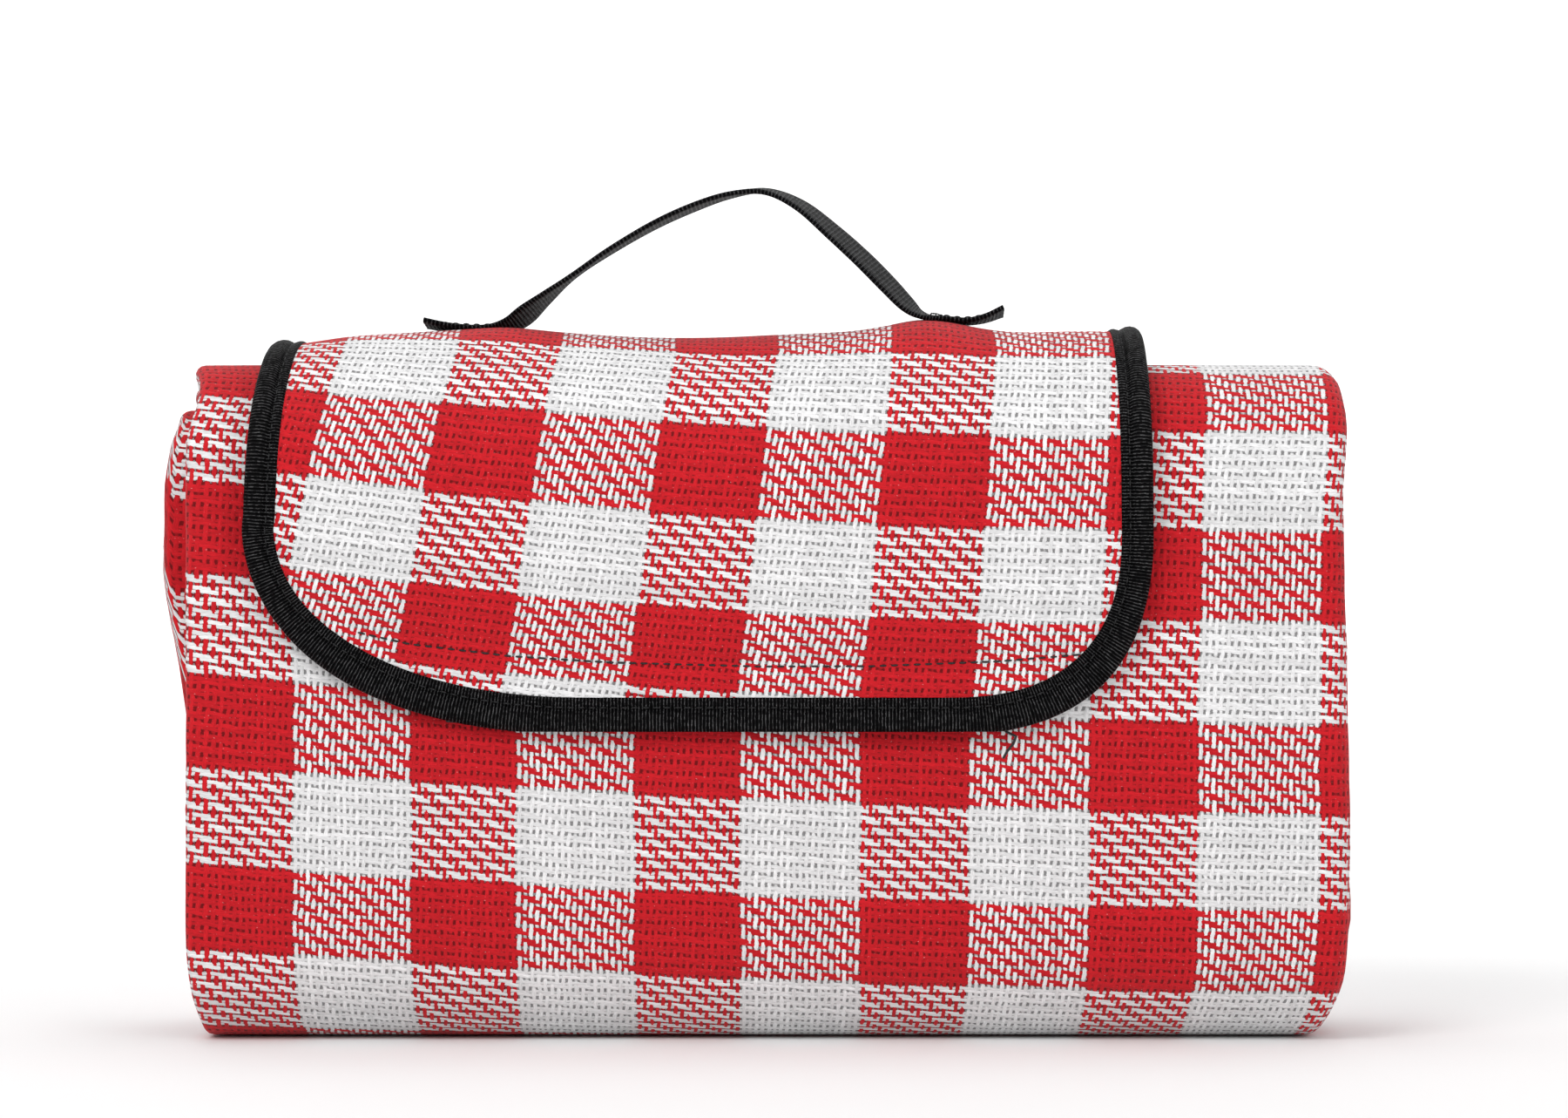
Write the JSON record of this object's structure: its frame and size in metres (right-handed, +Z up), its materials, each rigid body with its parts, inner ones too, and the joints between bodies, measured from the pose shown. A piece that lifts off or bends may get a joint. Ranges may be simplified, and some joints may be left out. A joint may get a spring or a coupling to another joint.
{
  "type": "folded picnic blanket",
  "caption": "Folded gingham picnic blanket packet with a rounded, bound cover flap that peels open and a webbing carry handle that swings.",
  "frame": {"origin": "middle of the packet's footprint, on the surface that it stands on", "axes": "+Z up, +X along the packet's width to the viewer's right, -Y towards the front with the flap"},
  "size_m": [0.35, 0.109, 0.2608],
  "materials": {
    "woven_cloth": "soft, matt twill of red and white yarns",
    "foam": "matt, closed-cell",
    "backing_film": "satin film",
    "binding_tape": "ribbed woven tape with a slight sheen",
    "webbing": "woven webbing with a slight sheen",
    "hook_and_loop": "matt, bristled",
    "thread": "twisted thread"
  },
  "bodies": {
    "packet": {"blanket_face": "woven_cloth", "blanket_foam": "foam", "blanket_film": "backing_film", "side_hem_tape": "binding_tape", "end_hem_tape": "binding_tape", "core_hem_tape": "binding_tape", "loop_strip": "hook_and_loop", "loop_seam": "thread", "spine_face": "woven_cloth", "spine_foam": "foam", "spine_lining": "backing_film", "spine_binding": "binding_tape", "root_seam": "thread", "handle_tab_left": "webbing", "handle_tab_right": "webbing", "tab_seams": "thread"},
    "flap": {"flap_face": "woven_cloth", "flap_foam": "foam", "flap_lining": "backing_film", "flap_binding": "binding_tape", "hook_strip": "hook_and_loop", "hook_seam": "thread"},
    "handle": {"handle_strap": "webbing"}
  },
  "joints": [
    {"name": "flap_hinge", "type": "hinge", "parent": "packet", "child": "flap", "pos_m": [-0.0185, -0.0548, 0.16875], "axis": [-1, 0, 0], "range_deg": [0, 170]},
    {"name": "handle_swing", "type": "hinge", "parent": "packet", "child": "handle", "pos_m": [-0.0105, 0, 0.23], "axis": [1, 0, 0], "range_deg": [-80, 80]}
  ]
}
